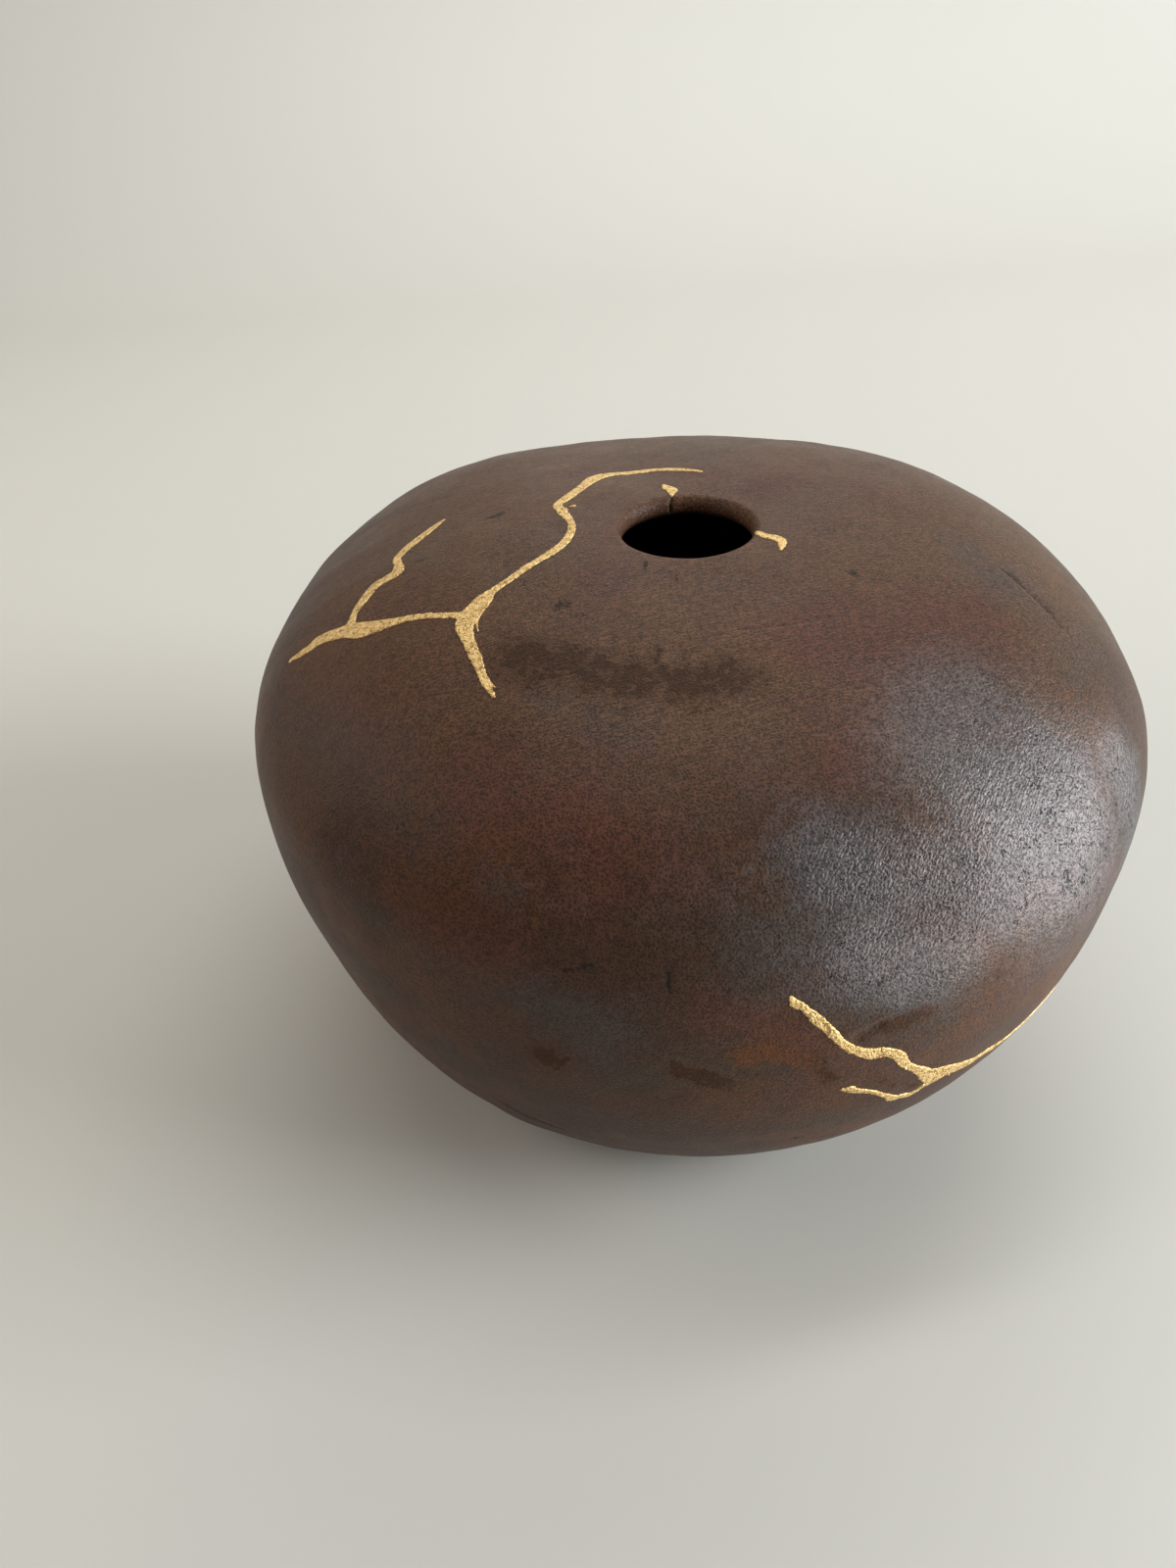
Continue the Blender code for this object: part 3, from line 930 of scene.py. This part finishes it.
def clayFinish():
    look = clayLook
    clay = Finish("burnishedClay")
    clouds = {name: clay.cloud(size * mm, detail, rough)
              for name, (size, detail, rough) in look["clouds"].items()}
    broad, patch, fine, mottle, speck = clouds.values()
    size, stretch, turn = look["tilted"]
    tilted = clay.cloud(size, 2, 0.5, clay.stretched(stretch, turn))

    def mask(layer, value):
        low, high = look["layers"][layer][:2]
        return clay.between(value, low, high)

    def laid(layer, under, cover):
        strength, colour = look["layers"][layer][2:]
        return clay.blend(cover * strength, under, look[colour])

    def painted(layer):
        tone, share, breaks = look["painted"][layer]
        value = clay.painted(tone) * share
        for name, depth in breaks.items():
            value = value + (clouds[name] - 0.5) * depth
        return mask(layer, value)

    colour = laid("brown", look["umber"], mask("brown", broad * 0.7 + fine * 0.3))
    colour = laid("olive", colour, mask("olive", tilted * 0.7 + fine * 0.3))
    colour = laid("violet", colour, mask("violet", patch * 0.6 + fine * 0.4))
    top = mask("top", clay.node("SeparateXYZ", {}, {0: clay.place}, "Z"))
    colour = laid("top", colour, top)
    covers = {}
    for layer in look["painted"]:
        covers[layer] = painted(layer)
        colour = laid(layer, colour, covers[layer])
    polishAndPaintedHighlight, flake, sootAndShade = covers["polishAndPaintedHighlight"], covers["flake"], covers["sootAndShade"]
    between = clay.cloud(look["grainSize"] * 0.8, 2, 0.6)
    grain = clay.cells(look["grainSize"]) * look["grainCells"] + between * look["grainCloud"]
    pits = mask("pits", speck * 0.6 + fine * 0.4 - polishAndPaintedHighlight * look["filledPits"])
    streak = clay.cloud(look["streakSize"], 2, 0.5, clay.rubbed(look["streakAlong"], look["streakLength"]))
    brush = clay.cloud(look["streakSize"], 2, 0.5, clay.rubbed(look["brushAlong"], look["streakLength"]))
    # the grain, pits and rubs are darker where their bump is low
    colour = laid("grain", colour, mask("grain", grain))
    colour = laid("mottle", colour, mask("mottle", mottle))
    colour = laid("pits", colour, pits)
    colour = laid("brush", colour, mask("brush", brush) * top)
    colour = laid("streak", colour, mask("streak", streak) * (1 - top))
    # painted shade: the inside of the vase is laid near-black
    colour = clay.blend(clay.painted("within"), colour, look["sootAndShade"])
    rubs = streak * (0.5 + polishAndPaintedHighlight * 0.5) * (1 - top) + brush * top
    relief, rougher = look["relief"], look["rougher"]
    height = grain * relief["grain"] + rubs - pits * relief["pits"] - flake * relief["flake"]
    rough = look["roughness"] + (patch - 0.5) * rougher["patch"] + (fine - 0.5) * rougher["fine"]
    rough = rough + flake * rougher["flake"] + sootAndShade * rougher["sootAndShade"]
    metal = polishAndPaintedHighlight * (1 - pits) * (1 - flake) * look["metal"]
    clay.give(Base_Color=colour, Roughness=rough, Metallic=metal, Specular_IOR_Level=look["gloss"],
              Normal=clay.bump(height, 1, look["grainHeight"]))
    return clay.material


goldLook = {
    "leaf": (0.56, 0.33, 0.10, 1),
    "pale": (0.88, 0.63, 0.29, 1),
    # the binder's dark brown shows in worn spots, and also rims each line as painted edge shade
    "binderAndEdgeShade": (0.10, 0.045, 0.015, 1),
    "wrinkleSize": 1.8 * mm,
    "gritSize": 0.6 * mm,
    "foldSize": 0.7 * mm,
    "relief": 0.5 * mm,
    "paleOver": (0.4, 0.6),     # where the pale leaf starts, and where it is full
    "wornUnder": (0.45, 0.38),  # the same of the worn spots
    "edgeOver": (0.5, 0.8),     # and of the dark edge: worn leaf that shows the binder, and painted edge shade
    "edgeBreak": 1.4,           # how far the grit breaks up that edge
    "bareSpots": 0.85,          # how much of the leaf is missing in its worn spots
    "bareAndShadedEdge": 0.9,            # and how dark the line's edge is, as bare binder and painted edge shade
    "roughness": 0.48,
    "roughGrit": 0.4,
    "metal": 0.8,
}


def goldFinish():
    look = goldLook
    gold = Finish("goldLeaf")
    wrinkle = gold.cloud(look["wrinkleSize"], 3, 0.6)
    grit = gold.cloud(look["gritSize"], 2, 0.6)
    pale = gold.between(wrinkle * 0.5 + grit * 0.5, *look["paleOver"])
    colour = gold.blend(pale, look["leaf"], look["pale"])
    bare = gold.between(wrinkle * 0.45 + grit * 0.55, *look["wornUnder"])
    # partly painted edge shade: a dark rim round the line, besides the binder where the leaf is worn at its
    # edge
    edge = gold.between(gold.painted("rim") + (grit - 0.5) * look["edgeBreak"], *look["edgeOver"])
    covered = (1 - bare * look["bareSpots"]) * (1 - edge * look["bareAndShadedEdge"])
    colour = gold.blend(covered, look["binderAndEdgeShade"], colour)
    rough = look["roughness"] + (grit - 0.5) * look["roughGrit"]
    height = gold.cells(look["foldSize"]) * 0.6 + wrinkle * 0.7 + grit * 0.8
    gold.give(Base_Color=colour, Metallic=covered * look["metal"], Roughness=rough,
              Normal=gold.bump(height, 1, look["relief"]))
    return gold.material


print("finishes: burnished clay and gold leaf")
vase.data.materials.clear()
vase.data.materials.append(clayFinish())
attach(vase, "root")
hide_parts("vase_body")
leafMaterial = goldFinish()
for node, piece in goldPieces.items():
    piece.data.materials.append(leafMaterial)
    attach(piece, "root")
    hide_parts(node)

studio = {
    "floor": (0.55, 0.515, 0.465, 1),
    "wallAt": 1.5,              # how far behind the vase the floor has swept up
    "sideAt": 4,                # and to each side
    "frontAt": 3.5,             # and in front, behind the camera
    "wallHeight": 3,
    "bend": 0.5,
    "flatEdge": 0.8,            # the floor is one flat face up to this far from the wall
    "corner": 1,                # radius of the wall's corners
    "turns": 24,                # rows of faces along each bend
    "cardRoughness": 0.6,
    "world": (0.86, 0.93, 1.0, 1),
    "worldStrength": 0.05,
    # name: bearing, climb and distance from the vase, width, height, power in watts, colour
    "lights": {
        "window": (80, 20, 3.2, 1.8, 1.45, 146, (0.86, 0.95, 1.0)),
        "tableGlow": (50, -5.7, 0.6, 0.5, 0.08, 2.0, (0.9, 0.96, 1.0)),
        "leftFill": (268, 32, 1.4, 0.9, 0.7, 6, (1.0, 0.93, 0.86)),
        "backFill": (168, 42, 1.4, 0.9, 0.7, 3, (0.97, 0.98, 1.0)),
    },
    "wallLight": ((0.3, 0.5, 2.6), (2.5, 0.6), 35, (0.95, 1.0, 1.0), (0, 1.7, 1.1)),
    "lightsAim": (0, 0, 0.12),
}


def makeBackdrop():
    # One sheet of pale card: flat under the vase and swept up all round, nearest behind it
    bend, corner = studio["bend"], studio["corner"]
    turns = np.linspace(0, math.pi / 2, studio["turns"])
    levels = [(bend - bend * math.sin(a), bend - bend * math.cos(a)) for a in turns]
    levels = [(studio["flatEdge"], 0)] + levels + [(0, studio["wallHeight"])]
    side, back, front = studio["sideAt"] - corner, studio["wallAt"] - corner, corner - studio["frontAt"]
    work = bmesh.new()
    rings = []
    for inset, height in levels:
        ring = []
        for quarter, (x, y) in enumerate(((side, back), (-side, back), (-side, front), (side, front))):
            for turn in turns + quarter * math.pi / 2:
                reach = corner - inset
                ring.append(work.verts.new((x + reach * math.cos(turn), y + reach * math.sin(turn), height)))
        rings.append(ring)
    work.faces.new(rings[0])
    for low, high in zip(rings, rings[1:]):
        for corners in zip(low, low[1:] + low[:1], high[1:] + high[:1], high):
            work.faces.new(corners).smooth = True
    mesh = bpy.data.meshes.new("paleCard")
    work.to_mesh(mesh)
    work.free()
    card = bpy.data.objects.new("paleCard", mesh)
    bpy.context.scene.collection.objects.link(card)
    plain = Finish("paleCard")
    plain.give(Base_Color=studio["floor"], Roughness=studio["cardRoughness"])
    mesh.materials.append(plain.material)


def makeLight(name, place, size, power, colour, aim):
    lamp = bpy.data.lights.new(name, "AREA")
    lamp.shape = "RECTANGLE"
    lamp.size, lamp.size_y = size
    lamp.energy = power
    lamp.color = colour
    light = bpy.data.objects.new(name, lamp)
    light.location = place
    light.rotation_euler = (aim - place).to_track_quat("-Z", "Y").to_euler()
    light.visible_camera = False
    bpy.context.scene.collection.objects.link(light)


def makeStudio():
    makeBackdrop()
    scene = bpy.context.scene
    world = bpy.data.worlds.new("studioWorld")
    world.use_nodes = True
    sky = world.node_tree.nodes["Background"]
    sky.inputs["Color"].default_value = studio["world"]
    sky.inputs["Strength"].default_value = studio["worldStrength"]
    scene.world = world
    aim = Vector(studio["lightsAim"])
    for name, (bearing, climb, far, width, height, power, colour) in studio["lights"].items():
        turn, rise = math.radians(bearing), math.radians(climb)
        away = Vector((math.cos(rise) * math.sin(turn), -math.cos(rise) * math.cos(turn), math.sin(rise)))
        makeLight(name, aim + away * far, (width, height), power, colour, aim)
    place, size, power, colour, aim = studio["wallLight"]
    makeLight("wallLight", Vector(place), size, power, colour, Vector(aim))
    scene.view_settings.view_transform = "Standard"


print("studio: floor and soft lights")
makeStudio()
